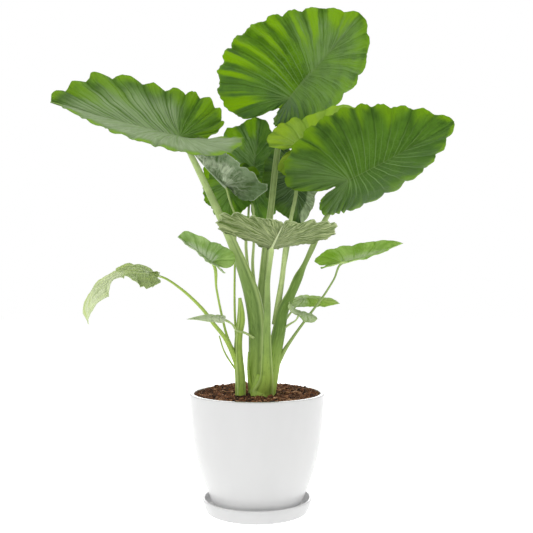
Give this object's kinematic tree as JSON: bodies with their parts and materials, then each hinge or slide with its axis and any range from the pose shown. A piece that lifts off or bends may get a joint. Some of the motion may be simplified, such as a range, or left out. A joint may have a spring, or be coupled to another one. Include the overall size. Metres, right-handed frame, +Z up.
{
  "type": "potted alocasia plant",
  "caption": "Broad-leaved alocasia with waved heart-shaped blades on thick stalks, standing in soil in a smooth tapered white planter on a matching saucer.",
  "frame": {"origin": "middle of the saucer's flat underside, on the axis of the planter", "axes": "+Z up; the front of the plant faces -Y, and +X is to the right as seen from the front"},
  "size_m": [0.7288, 0.4743, 0.989],
  "materials": {
    "glazed_white": "satin",
    "potting_mix": "matte",
    "stalk_green": "satin",
    "leaf_green": "satin",
    "lime_green": "satin",
    "silver_green": "satin",
    "pale_green": "matte"
  },
  "bodies": {
    "root": {"saucer": "glazed_white", "pot": "glazed_white", "soil": "potting_mix", "main_shoot": "stalk_green", "side_shoot": "stalk_green", "leaf_top": "leaf_green", "leaf_right": "leaf_green", "leaf_left": "leaf_green", "leaf_back": "leaf_green", "leaf_folded": "silver_green", "leaf_lime": "lime_green", "leaf_shade": "leaf_green", "leaf_front": "silver_green", "leaf_low_left": "leaf_green", "leaf_small_right": "leaf_green", "leaf_small_left": "leaf_green", "leaf_drooping": "pale_green", "leaf_low_right": "leaf_green", "leaf_curled": "pale_green", "leaf_withered": "pale_green"}
  },
  "joints": []
}
